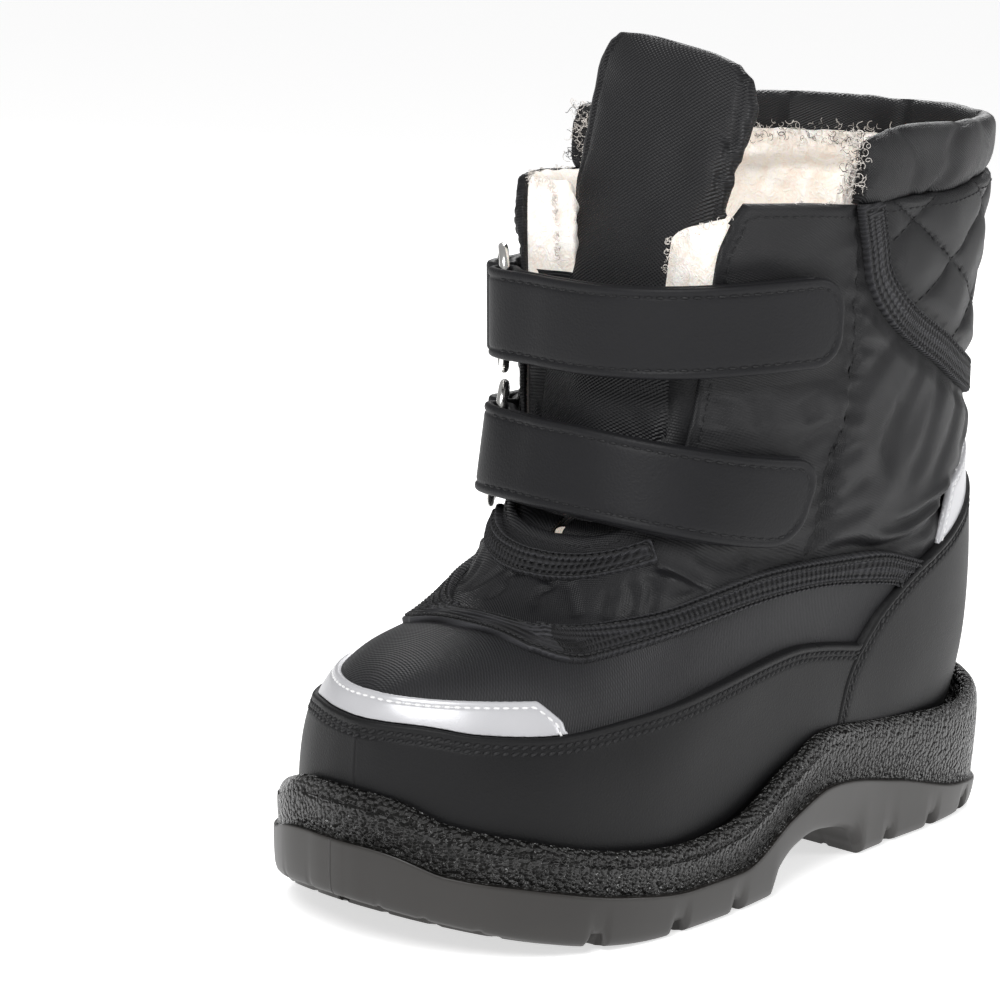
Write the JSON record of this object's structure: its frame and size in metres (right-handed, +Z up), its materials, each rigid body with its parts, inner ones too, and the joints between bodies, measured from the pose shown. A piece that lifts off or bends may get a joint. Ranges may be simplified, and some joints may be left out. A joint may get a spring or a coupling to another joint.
{
  "type": "snow boot",
  "caption": "Child's padded snow boot for the left foot: hollow nylon upper with fleece lining, moulded cup sole, leather-look rand and counter, and turn-back straps through steel rings.",
  "frame": {"origin": "bottom centre of the boot's box, on the floor", "axes": "+Z up, toe towards -X, heel towards +X, outer (lateral) side towards -Y"},
  "size_m": [0.2, 0.0846, 0.1795],
  "materials": {
    "sole_rubber": "moulded rubber, pebbled upper band and smooth lower band",
    "nylon": "black nylon twill with a soft sheen",
    "synthetic_leather": "matte synthetic leather, fine grain",
    "webbing": "ribbed woven tape",
    "reflective_tape": "silver retroreflective tape",
    "ring_steel": "polished",
    "fleece": "cream-white long pile fleece"
  },
  "bodies": {
    "root": {"outsole": "sole_rubber", "insole": "fleece", "upper": "nylon", "tongue": "nylon", "toe_rand": "synthetic_leather", "heel_counter": "synthetic_leather", "instep_band": "webbing", "throat_band": "webbing", "quarter_band_lateral": "webbing", "quarter_band_medial": "webbing", "back_stay": "webbing", "toe_reflector": "reflective_tape", "heel_reflector": "reflective_tape", "collar_cuff": "nylon", "strap_upper": "synthetic_leather", "ring_upper": "ring_steel", "tab_upper": "synthetic_leather", "strap_lower": "synthetic_leather", "ring_lower": "ring_steel", "tab_lower": "synthetic_leather"}
  },
  "joints": []
}
